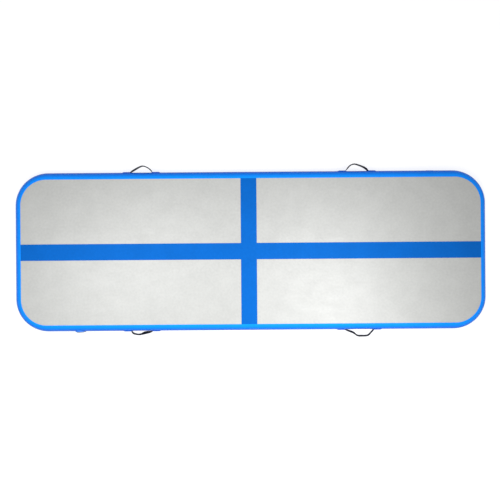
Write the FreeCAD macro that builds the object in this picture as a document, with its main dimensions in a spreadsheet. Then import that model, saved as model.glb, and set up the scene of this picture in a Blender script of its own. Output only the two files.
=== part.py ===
import FreeCAD, Part
import math
import os
import re
import Sketcher

# Inflatable air track mat, in millimetres, angles in degrees. The mat lies on the floor with its
# length along X, its width along Y and +Z up; the origin is the middle of its footprint, on the floor.

DIMENSIONS = {
    # The inflated mat and the sheets of coated fabric that it is glued from
    "length": 3000,
    "width": 1013,
    "thickness": 100,
    "corner_radius": 209,
    "bulge": 36,  # how far air pressure swells the side wall out beyond its seams
    "lap": 9,  # how far the outer side wall laps onto the top and bottom skins
    "flange": 25,  # how far the inner side wall reaches under the skins
    "ply": 0.9,
    "glue": 0.05,
    "joint_strip_x": 1150,
    "joint_strip_length": 44,
    "joint_strip_height": 88,
    # Threads that hold the two skins parallel
    "yarn_radius": 1,
    "yarn_pitch_x": 270,
    "yarn_pitch_y": 250,
    # Stripes on the top skin
    "long_stripe_width": 103,
    "cross_stripe_width": 100,
    "cross_stripe_x": -12,
    "stripe_gap": 0.3,
    # Webbing handles
    "strap_width": 25,
    "strap_ply": 2,
    "strap_end_length": 42,
    "strap_end_gap": 1,
    "hinge_out": 4.5,  # swing axis, out from the side wall
    "heel": 0.8,
    "leg": 4.5,
    "neck": 2,  # half height of the strap at its swing axis
    "taper": 12.5,
    "heel_bend": 3,
    "crown_bend": 16,
    "patch_length": 58,
    "patch_height": 48,
    "patch_corner": 10,
    "patch_shift": 22,  # patch centre, outwards along the wall from the strap's foot
    "cover_length": 48,
    "cover_gap": 2,  # from the strap's foot to the patch that covers its sewn end
    # Inflation valve: radii, then heights out from the wall along the valve's axis
    "valve_x": -1094,
    "cap_bore_radius": 12.5,
    "port_radius": 12,
    "barrel_bore_radius": 11.4,
    "barrel_radius": 15,
    "hole_radius": 15.3,
    "boss_radius": 32,
    "boss_front": 0.9,
    "boss_back": -12,
    "gasket_radius": 25,
    "gasket_front": 1.75,
    "tether_back": 1.8,
    "tether_front": 2.8,
    "tether_radius": 27,
    "tether_reach": 32.7,
    "tether_width": 10,
    "flange_back": 2.85,
    "flange_front": 4.6,
    "flange_radius": 26,
    "port_front": 1.2,
    "port_back": -7,
    "web_front": -22.4,
    "web_back": -25.4,
    "hub_front": -21.4,
    "hub_back": -27.4,
    "seat_front": -32.4,
    "seat_back": -34.4,
    "seat_radius": 8.2,
    "barrel_end": -39.4,
    "hub_radius": 3.6,
    "vent_radius": 2.5,
    "vent_circle": 7.8,
    "stem_radius": 2,
    "stem_clearance": 0.1,
    "disc_radius": 10.6,
    "disc_back": -37,
    "disc_front": -35.5,
    "seal_front": -34.45,
    "retainer_radius": 5.6,
    "retainer_back": -11.9,
    "button_back": -10.4,
    "button_front": -7.4,
    "button_radius": 6,
    "button_slot_width": 1.6,
    "button_slot_depth": 1.2,
    "spring_radius": 4.6,
    "spring_wire": 0.35,
    "spring_turns": 5,
    "clamp_radius": 22,
    "clamp_back": -8.5,
    "nut_back": -13.5,
    "nut_notch_radius": 2.5,
    "cap_radius": 24,
    "cap_back": 4.9,
    "cap_front": 7.1,
    "plug_radius": 11.9,
    "plug_end": 1.5,
    "plug_wall": 2,
    "ring_groove_back": 2.1,
    "ring_groove_front": 3.1,
    "ring_groove_radius": 11.3,
    "ring_radius": 0.48,
    "cap_hinge_x": 34.5,
    "cap_hinge_out": 3.9,
    "knuckle_radius": 1.3,
    "cap_strap_ply": 1.2,
    "cap_strap_width": 9,
    "cap_tab_reach": 29,
}

# Handles: where each stands on its long side, the distance between its feet, how far it stands out
# from the wall, and its crown, whose offset and length run along the handle's own X axis.
HANDLES = {
    "back_left": {"x": -696, "span": 138, "reach": 43, "crown": 7, "crown_length": 16},
    "back_right": {"x": 684, "span": 142, "reach": 49, "crown": -16, "crown_length": 16},
    "front_left": {"x": -696, "span": 135, "reach": 31, "crown": 12, "crown_length": 24},
    "front_right": {"x": 691, "span": 184, "reach": 49, "crown": -27, "crown_length": 54},
}

# Radius of the swollen side wall's section, and of the sheet that lies one layer inside another
WALL_RADIUS = "((thickness/2)^2 + bulge^2) / (2*bulge)"
LAYER = "(ply + glue)"

doc = FreeCAD.newDocument("air_track_mat")
sheet = doc.addObject("Spreadsheet::Sheet", "Sheet")
subparts = []


def fill_sheet():
    """One row for each driving dimension: its name, then its value with that name as alias."""
    values = dict(DIMENSIONS)
    for place, handle in HANDLES.items():
        for key, value in handle.items():
            values[f"{place}_{key}"] = value
    for row, (alias, value) in enumerate(values.items(), 1):
        sheet.set(f"A{row}", alias)
        sheet.set(f"B{row}", str(value))
        sheet.setAlias(f"B{row}", alias)
    doc.recompute()
    return values


VALUES = fill_sheet()


def bound(text):
    """Expression text with every dimension's name pointed at its cell."""
    return re.sub(r"[a-z]\w*", lambda m: f"Sheet.{m[0]}" if m[0] in VALUES else m[0], text)


def number(text):
    """Value of an expression at the sheet's present dimensions."""
    return float(sheet.evalExpression(bound(text)))


def turned(axis, angle):
    return FreeCAD.Rotation(FreeCAD.Vector(*axis), angle)


def place(part, x="0", y="0", z="0", rotation=None):
    """Stand a sub-part at a point given by three expressions."""
    part.Placement = FreeCAD.Placement(
        FreeCAD.Vector(number(x), number(y), number(z)), rotation or FreeCAD.Rotation()
    )
    for axis, text in zip("xyz", (x, y, z)):
        part.setExpression(f"Placement.Base.{axis}", bound(text))


def new_body(label):
    body = doc.addObject("PartDesign::Body", label)
    body.Label = label
    subparts.append(body)
    return body


def new_sketch(body, name, role, lift="0"):
    """Empty sketch on one of the body's origin planes, or lifted off it along its normal."""
    sketch = body.newObject("Sketcher::SketchObject", name)
    plane = next(f for f in body.Origin.OriginFeatures if f.Role == role)
    sketch.AttachmentSupport = (plane, [""])
    sketch.MapMode = "FlatFace"
    sketch.setExpression("AttachmentOffset.Base.z", bound(lift))
    return sketch


def constrain(sketch, kind, references, text):
    """Dimension of a sketch, bound to an expression."""
    index = sketch.addConstraint(Sketcher.Constraint(kind, *references, number(text)))
    sketch.setExpression(f"Constraints[{index}]", bound(text))


def pin_point(sketch, geometry, end, x, y):
    """Place a point of a sketch by two expressions counted from the sketch's origin."""
    for kind, text, axis in (("DistanceX", x, -2), ("DistanceY", y, -1)):
        if text == "0":
            sketch.addConstraint(Sketcher.Constraint("PointOnObject", geometry, end, axis))
        else:
            constrain(sketch, kind, (geometry, end), text)


def arc_between(start, finish, radius, side):
    """Arc of less than half a turn that bulges to one side of the way from start to finish."""
    chord = finish - start
    outward = FreeCAD.Vector(-chord.y, chord.x, 0).normalize() * (1 if side == "left" else -1)
    rise = radius - math.sqrt(radius**2 - (chord.Length / 2) ** 2)
    return Part.Arc(start, (start + finish) / 2 + outward * rise, finish)


def outline(body, name, role, points, arcs=None, rounds=None, closed=True, lift="0"):
    """Sketch through points given as pairs of expressions. arcs maps the number of an edge to its
    radius and the side it bulges to; rounds maps the number of a corner to its fillet radius."""
    sketch = new_sketch(body, name, role, lift)
    corners = [FreeCAD.Vector(number(x), number(y), 0) for x, y in points]
    count = len(points) if closed else len(points) - 1
    starts = []
    ends = []
    for edge in range(count):
        start = corners[edge]
        finish = corners[(edge + 1) % len(points)]
        if arcs and edge in arcs:
            radius, side = arcs[edge]
            index = sketch.addGeometry(arc_between(start, finish, number(radius), side))
            constrain(sketch, "Radius", (index,), radius)
        else:
            index = sketch.addGeometry(Part.LineSegment(start, finish))
        forward = sketch.getPoint(index, 1).distanceToPoint(start) < 1e-6
        starts.append((index, 1 if forward else 2))
        ends.append((index, 2 if forward else 1))
    for edge in range(count):
        pin_point(sketch, *starts[edge], *points[edge])
        if edge or closed:
            sketch.addConstraint(Sketcher.Constraint("Coincident", *ends[edge - 1], *starts[edge]))
    if not closed:
        pin_point(sketch, *ends[-1], *points[-1])
    doc.recompute()
    for corner, radius in (rounds or {}).items():
        index = sketch.GeometryCount
        sketch.fillet(*starts[corner], number(radius), True, True)
        constrain(sketch, "Radius", (index,), radius)
    return sketch


def rectangle(body, name, role, x, y, half_x, half_y, corner=None, lift="0"):
    """Rectangle about a centre, with the same fillet on all four corners."""
    signs = ((-1, -1), (1, -1), (1, 1), (-1, 1))
    points = [(f"{x} + {i}*({half_x})", f"{y} + {j}*({half_y})") for i, j in signs]
    rounds = {i: corner for i in range(4)} if corner else None
    return outline(body, name, role, points, rounds=rounds, lift=lift)


def circles(body, name, role, radii, x="0", y="0", lift="0"):
    """Concentric circles: a disc, or a ring when there are two."""
    sketch = new_sketch(body, name, role, lift)
    centre = FreeCAD.Vector(number(x), number(y), 0)
    for radius in radii:
        circle = Part.Circle(centre, FreeCAD.Vector(0, 0, 1), number(radius))
        index = sketch.addGeometry(circle)
        constrain(sketch, "Radius", (index,), radius)
        pin_point(sketch, index, 3, x, y)
    return sketch


def extrude(body, kind, sketch, length, symmetric=False, back=False):
    """Pad or pocket of a sketch."""
    feature = body.newObject(f"PartDesign::{kind}", kind)
    feature.Profile = sketch
    feature.setExpression("Length", bound(length))
    if symmetric:
        feature.SideType = "Symmetric"
    feature.Reversed = back
    doc.recompute()
    return feature


def revolve(body, points):
    """Solid of revolution about the body's Z axis, from a section of (radius, height) points."""
    sketch = outline(body, "Section", "XZ_Plane", points)
    feature = body.newObject("PartDesign::Revolution", "Revolution")
    feature.Profile = sketch
    feature.ReferenceAxis = (sketch, ["V_Axis"])
    feature.Angle = 360
    doc.recompute()
    return feature


def ring(label, inner, outer, low, high):
    """Flat ring, or a disc when the inner radius is zero, about the body's Z axis."""
    body = new_body(label)
    revolve(body, [(inner, low), (outer, low), (outer, high), (inner, high)])
    return body


def sweep(body, section, path):
    """Carry a section along a path sketch."""
    doc.recompute()
    pipe = body.newObject("PartDesign::AdditivePipe", "Pipe")
    pipe.Profile = section
    pipe.Spine = (path, [f"Edge{i + 1}" for i in range(len(path.Shape.Edges))])
    doc.recompute()
    return pipe


def cut_checked(body, make):
    """Run a cut and make sure that it took material away."""
    before = body.Shape.Volume
    make()
    if body.Shape.Volume >= before - 1e-6:
        raise RuntimeError(f"{body.Label}: the cut removed nothing")


# ------------------------------------------------------------------------------------ inflated mat


def skin(label, low):
    """Top or bottom skin: a flat sheet that ends inside the seams of the side wall."""
    body = new_body(label)
    inset = f"(bulge + {LAYER}/4)"
    sketch = rectangle(
        body, "Outline", "XY_Plane", "0", "0",
        f"length/2 - {inset}", f"width/2 - {inset}", f"corner_radius - {inset}", lift=low,
    )
    extrude(body, "Pad", sketch, "ply")


def wall_path(body):
    """Rounded rectangle at mid height that the side wall follows."""
    return rectangle(
        body, "Path", "XY_Plane", "0", "0", "length/2", "width/2", "corner_radius", lift="thickness/2"
    )


def side_wall(label, layers, reach):
    """Swollen strip round the mat with a flat flange at its top and bottom. layers counts the
    sheets outside it, and reach is how far the flanges run in from the seam."""
    body = new_body(label)
    outer = f"({WALL_RADIUS} - {layers}*{LAYER})"
    inner = f"({outer} - ply)"
    top = f"(thickness/2 - 2*{layers}*{LAYER})"
    under = f"({top} - ply)"
    centre = f"length/2 - {WALL_RADIUS}"
    shoulder = f"{centre} + sqrt({outer}^2 - {top}^2)"
    inside = f"{centre} + sqrt({inner}^2 - {under}^2)"
    edge = f"length/2 - bulge - {reach}"
    middle = "thickness/2"
    points = [
        (edge, f"{middle} + {top}"),
        (shoulder, f"{middle} + {top}"),
        (shoulder, f"{middle} - {top}"),
        (edge, f"{middle} - {top}"),
        (edge, f"{middle} - {under}"),
        (inside, f"{middle} - {under}"),
        (inside, f"{middle} + {under}"),
        (edge, f"{middle} + {under}"),
    ]
    arcs = {1: (outer, "left"), 5: (inner, "right")}
    path = wall_path(body)
    section = outline(body, "Section", "XZ_Plane", points, arcs)
    sweep(body, section, path)
    hole = circles(
        body, "ValveHole", "XZ_Plane", ["hole_radius"], "valve_x", "thickness/2",
        lift="width/2 - barrel_radius",
    )
    cut_checked(body, lambda: extrude(body, "Pocket", hole, "2*barrel_radius", back=True))


def yarns():
    """Threads between the two skins, standing in rows."""
    half_gap = f"(thickness/2 - 2*{LAYER})"
    columns = range(-5, 6)
    rows = (-1.5, -0.5, 0.5, 1.5)
    body = new_body("drop_stitch_yarns")
    body.AllowCompound = True
    sketch = new_sketch(body, "Threads", "XY_Plane", "thickness/2")
    for column in columns:
        for row in rows:
            x = f"{column}*yarn_pitch_x"
            y = f"{row}*yarn_pitch_y"
            centre = FreeCAD.Vector(number(x), number(y), 0)
            circle = Part.Circle(centre, FreeCAD.Vector(0, 0, 1), number("yarn_radius"))
            index = sketch.addGeometry(circle)
            constrain(sketch, "Radius", (index,), "yarn_radius")
            pin_point(sketch, index, 3, x if column else "0", y)
    extrude(body, "Pad", sketch, f"2*{half_gap}", symmetric=True)


def stripe(label, x, y, half_x, half_y):
    """Coloured sheet glued on the top skin, level with the laps of the side wall."""
    body = new_body(label)
    sketch = rectangle(body, "Outline", "XY_Plane", x, y, half_x, half_y, lift="thickness - ply")
    extrude(body, "Pad", sketch, "ply")


def curved_sheet(label, start, ply, length, height, corner=None):
    """Sheet that hugs the swollen wall. Its own frame has X along the wall and Y straight out from
    the wall's outermost line, where the sheet's back stands off by start."""
    body = new_body(label)
    near = f"({WALL_RADIUS} + {start})"
    blank = rectangle(body, "Outline", "XZ_Plane", "0", "0", f"{length}/2", f"{height}/2", corner)
    extrude(body, "Pad", blank, "2*bulge", symmetric=True)
    sides = {"Back": [near], "Front": [f"{near} + {ply}", f"3*{near}"]}
    for word, radii in sides.items():
        arc = circles(body, word, "YZ_Plane", radii, f"-({WALL_RADIUS})", "0")
        cut_checked(body, lambda: extrude(body, "Pocket", arc, f"2*{length}", symmetric=True))
    return body


# ----------------------------------------------------------------------------------------- handles


def on_long_side(part, side, x, shift="0"):
    """Stand a wall piece on the back or the front long side; shift runs along its own X."""
    back = side == "back"
    place(
        part,
        f"{x} {'+' if back else '-'} ({shift})",
        "width/2" if back else "-width/2",
        "thickness/2",
        None if back else turned((0, 0, 1), 180),
    )


def handle_loop(name, side, x):
    """Slack length of webbing between its two sewn feet, narrowed to a neck at each foot."""
    body = new_body(f"{name}_handle_loop")
    half_span = f"{name}_span/2"
    foot = "hinge_out - heel"
    bend = "hinge_out + leg"
    top = f"{name}_reach - strap_ply/2"
    crown_start = f"{name}_crown - {name}_crown_length/2"
    crown_end = f"{name}_crown + {name}_crown_length/2"
    points = [
        (f"-{half_span}", foot),
        (f"-{half_span}", bend),
        (crown_start, top),
        (crown_end, top),
        (half_span, bend),
        (half_span, foot),
    ]
    rounds = {1: "heel_bend", 2: "crown_bend", 3: "crown_bend", 4: "heel_bend"}
    path = outline(body, "Path", "XY_Plane", points, rounds=rounds, closed=False)
    section = rectangle(
        body, "Section", "XZ_Plane", f"-{half_span}", "0", "strap_ply/2", "strap_width/2",
        lift="heel - hinge_out",
    )
    sweep(body, section, path)
    near = f"{foot} - 1"
    for word, sign in (("Upper", "1"), ("Lower", "-1")):
        edge = f"{sign}*strap_width/2"
        clear = f"{sign}*(strap_width/2 + 1)"
        neck = f"{sign}*neck"
        wedge = [(near, neck), ("hinge_out", neck), ("hinge_out + taper", edge),
                 ("hinge_out + taper", clear), (near, clear)]
        sketch = outline(body, f"{word}Taper", "YZ_Plane", wedge)
        cut_checked(
            body, lambda: extrude(body, "Pocket", sketch, f"2*{name}_span", symmetric=True)
        )
    on_long_side(body, side, x)


def handle(name):
    """Webbing loop, its two sewn ends, the patches that carry them and the ones that cover them."""
    side = name.split("_")[0]
    x = f"{name}_x"
    handle_loop(name, side, x)
    foot = f"{name}_span/2"
    for word in ("left", "right"):
        toward = "1" if (word == "right") == (side == "back") else "-1"
        patch = curved_sheet(
            f"{name}_handle_{word}_patch", "glue", "ply", "patch_length", "patch_height",
            "patch_corner",
        )
        on_long_side(patch, side, x, f"{toward}*({foot} + patch_shift)")
        end = curved_sheet(
            f"{name}_handle_{word}_end", "2*glue + ply", "strap_ply", "strap_end_length",
            "strap_width",
        )
        on_long_side(end, side, x, f"{toward}*({foot} + strap_end_gap + strap_end_length/2)")
        cover = curved_sheet(
            f"{name}_handle_{word}_cover", "3*glue + ply + strap_ply", "ply", "cover_length",
            "patch_height", "patch_corner",
        )
        on_long_side(cover, side, x, f"{toward}*({foot} + cover_gap + cover_length/2)")


# ------------------------------------------------------------------------------------------- valve
# Valve pieces are turned about their own Z axis, which points straight out of the front wall.


def on_valve_axis(part):
    place(part, "valve_x", "-width/2", "thickness/2", turned((1, 0, 0), 90))


def valve_boss():
    """Moulded seat glued on the wall: flat in front, hollowed behind to the wall's curve."""
    body = ring("valve_boss", "hole_radius", "boss_radius", "boss_back", "boss_front")
    wall = circles(
        body, "WallCurve", "YZ_Plane", [f"{WALL_RADIUS} + glue"], "0", f"-({WALL_RADIUS})"
    )
    cut_checked(body, lambda: extrude(body, "Pocket", wall, "3*boss_radius", symmetric=True))
    on_valve_axis(body)


def valve_clamp_washer():
    """Saddle washer inside the wall: flat behind, rounded in front to the wall's hollow."""
    body = ring("valve_clamp_washer", "hole_radius", "clamp_radius", "clamp_back", "0")
    hollow = f"({WALL_RADIUS} - 2*{LAYER})"
    wall = circles(
        body, "WallCurve", "YZ_Plane", [hollow, "2*thickness"], "0", f"-({WALL_RADIUS})"
    )
    cut_checked(body, lambda: extrude(body, "Pocket", wall, "3*clamp_radius", symmetric=True))
    on_valve_axis(body)


def valve_nut():
    """Round nut with four spanner notches in its rim."""
    body = ring("valve_nut", "hole_radius", "clamp_radius", "nut_back", "clamp_back - glue")
    notch = circles(
        body, "Notch", "XY_Plane", ["nut_notch_radius"], "clamp_radius", "0", lift="nut_back"
    )
    cut_checked(body, lambda: extrude(body, "Pocket", notch, "thickness", symmetric=True))
    repeat_round(body, 4)
    on_valve_axis(body)


def repeat_round(body, count):
    """Repeat the body's last cut evenly about its Z axis."""
    last = body.Tip
    pattern = body.newObject("PartDesign::PolarPattern", "Pattern")
    pattern.Originals = [last]
    axis = next(f for f in body.Origin.OriginFeatures if f.Role == "Z_Axis")
    pattern.Axis = (axis, [""])
    pattern.Angle = 360
    pattern.Occurrences = count
    body.Tip = pattern
    doc.recompute()


def valve_body():
    """Flange and barrel in one piece, with a vented web that guides the stem and, behind it, a
    ledge that the plunger seals against."""
    body = new_body("valve_body")
    bore = "stem_radius + stem_clearance"
    revolve(body, [
        (bore, "hub_back"),
        ("hub_radius", "hub_back"),
        ("hub_radius", "web_back"),
        ("barrel_bore_radius", "web_back"),
        ("barrel_bore_radius", "seat_front"),
        ("seat_radius", "seat_front"),
        ("seat_radius", "seat_back"),
        ("barrel_bore_radius", "seat_back"),
        ("barrel_bore_radius", "barrel_end"),
        ("barrel_radius", "barrel_end"),
        ("barrel_radius", "flange_back"),
        ("flange_radius", "flange_back"),
        ("flange_radius", "flange_front"),
        ("cap_bore_radius", "flange_front"),
        ("cap_bore_radius", "port_front"),
        ("port_radius", "port_front"),
        ("port_radius", "port_back"),
        ("barrel_bore_radius", "port_back"),
        ("barrel_bore_radius", "web_front"),
        ("hub_radius", "web_front"),
        ("hub_radius", "hub_front"),
        (bore, "hub_front"),
    ])
    vent = circles(body, "Vent", "XY_Plane", ["vent_radius"], "vent_circle", "0", lift="web_front + 1")
    cut_checked(body, lambda: extrude(body, "Pocket", vent, "web_front - web_back + 2"))
    repeat_round(body, 6)
    on_valve_axis(body)


def valve_spring():
    """Round wire coil between the web's hub and the retainer."""
    body = new_body("valve_spring")
    rise = "(retainer_back - hub_front - 2*spring_wire - 2*glue)"
    wire = circles(
        body, "Wire", "XZ_Plane", ["spring_wire"], "spring_radius", "hub_front + spring_wire + glue"
    )
    coil = body.newObject("PartDesign::AdditiveHelix", "Coil")
    coil.Profile = wire
    coil.ReferenceAxis = (wire, ["V_Axis"])
    coil.Mode = "height-turns-angle"
    coil.setExpression("Height", bound(rise))
    coil.setExpression("Turns", bound("spring_turns"))
    doc.recompute()
    on_valve_axis(body)


def valve_button():
    """Push button with a screwdriver slot across it."""
    body = ring("valve_button", "0", "button_radius", "button_back", "button_front")
    slot = rectangle(
        body, "Slot", "XY_Plane", "0", "0", "button_radius + 1", "button_slot_width/2",
        lift="button_front",
    )
    cut_checked(body, lambda: extrude(body, "Pocket", slot, "button_slot_depth"))
    on_valve_axis(body)


def tether_ring():
    """Ring held under the flange, with the tongue that the cap's strap bends from."""
    body = ring("cap_tether_ring", "hole_radius", "tether_radius", "tether_back", "tether_front")
    tongue = rectangle(
        body, "Tongue", "XY_Plane", "(tether_radius - 3 + tether_reach)/2", "0",
        "(tether_reach - tether_radius + 3)/2", "tether_width/2", lift="tether_back",
    )
    extrude(body, "Pad", tongue, "tether_front - tether_back")
    on_valve_axis(body)


def valve_cap():
    """Cap with a hollow plug, a groove for its sealing ring, a lifting tab, and the strap that ends
    in the rolled edge it swings about."""
    body = new_body("valve_cap")
    inside = "plug_radius - plug_wall"
    revolve(body, [
        ("0", "cap_back"),
        (inside, "cap_back"),
        (inside, "plug_end"),
        ("plug_radius", "plug_end"),
        ("plug_radius", "ring_groove_back"),
        ("ring_groove_radius", "ring_groove_back"),
        ("ring_groove_radius", "ring_groove_front"),
        ("plug_radius", "ring_groove_front"),
        ("plug_radius", "cap_back"),
        ("cap_radius", "cap_back"),
        ("cap_radius", "cap_front"),
        ("0", "cap_front"),
    ])
    strap = rectangle(
        body, "Strap", "XY_Plane", "(cap_radius - 2 + cap_hinge_x)/2", "0",
        "(cap_hinge_x - cap_radius + 2)/2", "cap_strap_width/2", lift="cap_back",
    )
    extrude(body, "Pad", strap, "cap_strap_ply")
    knuckle = circles(
        body, "Knuckle", "XZ_Plane", ["knuckle_radius"], "cap_hinge_x", "cap_hinge_out"
    )
    extrude(body, "Pad", knuckle, "cap_strap_width", symmetric=True)
    tab = rectangle(
        body, "Tab", "XY_Plane", "-(cap_radius - 2 + cap_tab_reach)/2", "0",
        "(cap_tab_reach - cap_radius + 2)/2", "cap_strap_width/2", "cap_strap_ply", lift="cap_back",
    )
    extrude(body, "Pad", tab, "cap_strap_ply")
    on_valve_axis(body)


def cap_sealing_ring():
    """Round-section ring in the plug's groove."""
    torus = doc.addObject("Part::Torus", "cap_sealing_ring")
    torus.Label = "cap_sealing_ring"
    torus.setExpression("Radius1", bound("ring_groove_radius + ring_radius + glue/2"))
    torus.setExpression("Radius2", bound("ring_radius"))
    ring_out = "(ring_groove_back + ring_groove_front)/2"
    place(torus, "valve_x", f"-width/2 - {ring_out}", "thickness/2", turned((1, 0, 0), 90))
    subparts.append(torus)


def valve():
    """Push valve through the front wall, from its seat on the wall to the cap."""
    bore = "stem_radius + stem_clearance"
    valve_boss()
    on_valve_axis(ring("valve_gasket", "hole_radius", "gasket_radius", "boss_front + glue",
                       "gasket_front"))
    tether_ring()
    valve_body()
    valve_clamp_washer()
    valve_nut()
    valve_spring()
    on_valve_axis(ring("spring_retainer", bore, "retainer_radius", "retainer_back",
                       "button_back - glue"))
    on_valve_axis(ring("valve_stem", "0", "stem_radius", "disc_front + glue",
                       "button_back - glue/2"))
    valve_button()
    on_valve_axis(ring("plunger_disc", "0", "disc_radius", "disc_back", "disc_front"))
    on_valve_axis(ring("plunger_seal", "seat_radius - 1.5", "disc_radius", "disc_front + glue",
                       "seal_front"))
    valve_cap()
    cap_sealing_ring()


def check_document():
    """Stop on any failed feature and on any sub-part that isn't sound."""
    for item in doc.Objects:
        if "Invalid" in item.State or "Error" in item.State:
            raise RuntimeError(f"{item.Label}: {item.State}")
    for part in subparts:
        shape = part.Shape
        if shape.isNull() or not shape.isValid() or not shape.Solids:
            raise RuntimeError(f"{part.Label}: no sound solid")


skin("bottom_skin", LAYER)
skin("top_skin", f"thickness - {LAYER} - ply")
yarns()
side_wall("inner_side_wall", "1", "flange")
side_wall("outer_side_wall", "0", "lap")
joint_strip = curved_sheet(
    "side_wall_joint_strip", "glue", "ply", "joint_strip_length", "joint_strip_height"
)
on_long_side(joint_strip, "back", "joint_strip_x")
stripe("long_stripe", "0", "0", "length/2 - bulge - lap - stripe_gap", "long_stripe_width/2")
for side, sign in (("front", "-1"), ("back", "1")):
    near = "(long_stripe_width/2 + stripe_gap)"
    far = "(width/2 - bulge - lap - stripe_gap)"
    stripe(
        f"cross_stripe_{side}", "cross_stripe_x", f"{sign}*({near} + {far})/2",
        "cross_stripe_width/2", f"({far} - {near})/2",
    )
for handle_name in HANDLES:
    handle(handle_name)
valve()

doc.recompute()
check_document()
os.makedirs("parts", exist_ok=True)
for part in subparts:
    part.Shape.exportStep(f"parts/{part.Label}.step")
    print(f"{part.Label:32s} {part.Shape.Volume:14.2f} mm3  {len(part.Shape.Solids)} solid(s)")
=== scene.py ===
"""Looks of the inflatable air track mat, in metres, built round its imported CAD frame.

The mat lies flat with its long side along X, its valve at the left end of the front wall and
a webbing handle near each end of both long walls.
"""

import math

import bpy
import numpy as np
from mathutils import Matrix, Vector


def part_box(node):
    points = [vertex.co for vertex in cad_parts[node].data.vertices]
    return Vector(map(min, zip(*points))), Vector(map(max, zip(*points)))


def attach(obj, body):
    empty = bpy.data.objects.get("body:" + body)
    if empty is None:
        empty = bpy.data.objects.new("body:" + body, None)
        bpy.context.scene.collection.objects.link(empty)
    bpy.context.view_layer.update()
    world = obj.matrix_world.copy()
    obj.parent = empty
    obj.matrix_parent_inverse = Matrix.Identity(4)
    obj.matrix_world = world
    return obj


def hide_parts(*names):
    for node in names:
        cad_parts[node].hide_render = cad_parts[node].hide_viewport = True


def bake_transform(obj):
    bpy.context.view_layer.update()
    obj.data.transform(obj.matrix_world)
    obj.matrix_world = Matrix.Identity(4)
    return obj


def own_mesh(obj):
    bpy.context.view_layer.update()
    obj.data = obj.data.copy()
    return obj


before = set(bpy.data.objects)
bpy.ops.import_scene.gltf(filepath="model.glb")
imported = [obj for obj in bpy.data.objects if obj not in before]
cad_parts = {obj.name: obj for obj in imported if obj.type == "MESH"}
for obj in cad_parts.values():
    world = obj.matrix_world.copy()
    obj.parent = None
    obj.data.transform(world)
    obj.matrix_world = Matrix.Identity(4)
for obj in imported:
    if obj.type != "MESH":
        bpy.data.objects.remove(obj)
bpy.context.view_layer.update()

MM = 0.001
WALL_LOW, WALL_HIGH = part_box("outer_side_wall")
HALF_LENGTH = round(WALL_HIGH.x, 3)
HALF_WIDTH = round(WALL_HIGH.y, 4)
THICKNESS = round(WALL_HIGH.z, 3)
CORNER_RADIUS = 209 * MM
BULGE = 36 * MM  # how far the side wall swells out beyond its seams
LAP = 9 * MM  # how far the side wall's edge laps onto the panels
PLY = 0.9 * MM
LAYER = PLY + 0.05 * MM  # one sheet and its glue line
SHOULDER = 20 * MM  # radius where the wall turns onto the panel
WALL_RADIUS = ((THICKNESS / 2) ** 2 + BULGE**2) / (2 * BULGE)
SHOULDER_TURN = math.asin((THICKNESS / 2 - SHOULDER) / (WALL_RADIUS - SHOULDER))
SHOULDER_IN = WALL_RADIUS - (WALL_RADIUS - SHOULDER) * math.cos(SHOULDER_TURN)
WALL_RUN = WALL_RADIUS * SHOULDER_TURN
LAP_START = WALL_RUN + SHOULDER * (math.pi / 2 - SHOULDER_TURN)
LAP_END = LAP_START + BULGE + LAP - SHOULDER_IN
STRAIGHT_X = HALF_LENGTH - CORNER_RADIUS
STRAIGHT_Y = HALF_WIDTH - CORNER_RADIUS
QUARTER = math.pi / 2 * CORNER_RADIUS
PERIMETER = 4 * (STRAIGHT_X + STRAIGHT_Y + QUARTER)
VALVE_LOW, VALVE_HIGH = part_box("valve_boss")
VALVE_RUN = PERIMETER + (VALVE_LOW.x + VALVE_HIGH.x) / 2  # the valve's place round the wall
HOLE_RADIUS = 15.3 * MM  # the valve's hole in the wall
SHARP = math.radians(40)  # edges that turn more than this stay sharp or get a bevel
BACK, FRONT = 1, -1  # the mat's long sides, as the sign of Y
HANDLES = {"back_left": BACK, "back_right": BACK, "front_left": FRONT, "front_right": FRONT}


# ---------------------------------------------------------------- meshes

EDGE_SWELL = 0.4  # how far a sheet's cut edge bulges, in thicknesses


def new_piece(name, points, faces, finish, body="mat", stands_for=(), sheet=None):
    """Mesh object with a finish, riding on a body in place of CAD nodes. sheet gives each
    point's place on its flat sheet, which the weaves follow."""
    mesh = bpy.data.meshes.new(name)
    mesh.from_pydata(np.asarray(points).tolist(), [], faces)
    if sheet is not None:
        place = mesh.attributes.new("sheet", "FLOAT_VECTOR", "POINT")
        place.data.foreach_set("vector", np.asarray(sheet, np.float32).ravel())
    mesh.shade_smooth()
    mesh.set_sharp_from_angle(angle=SHARP)
    mesh.materials.append(finish)
    made = bpy.data.objects.new(name, mesh)
    bpy.context.scene.collection.objects.link(made)
    if body:
        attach(made, body)
    if stands_for:
        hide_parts(*stands_for)
    return made


def loop_round(index, first_row, last_row, first_column, last_column):
    """Point numbers round a block of a grid, starting along its first row."""
    return np.concatenate([index[first_row, first_column:last_column],
                           index[first_row:last_row, last_column],
                           index[last_row, last_column:first_column:-1],
                           index[last_row:first_row:-1, first_column]])


def between_loops(first, second):
    """Quads that join two closed loops of points."""
    return np.stack([first, np.roll(first, -1), np.roll(second, -1), second], 1)


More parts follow.
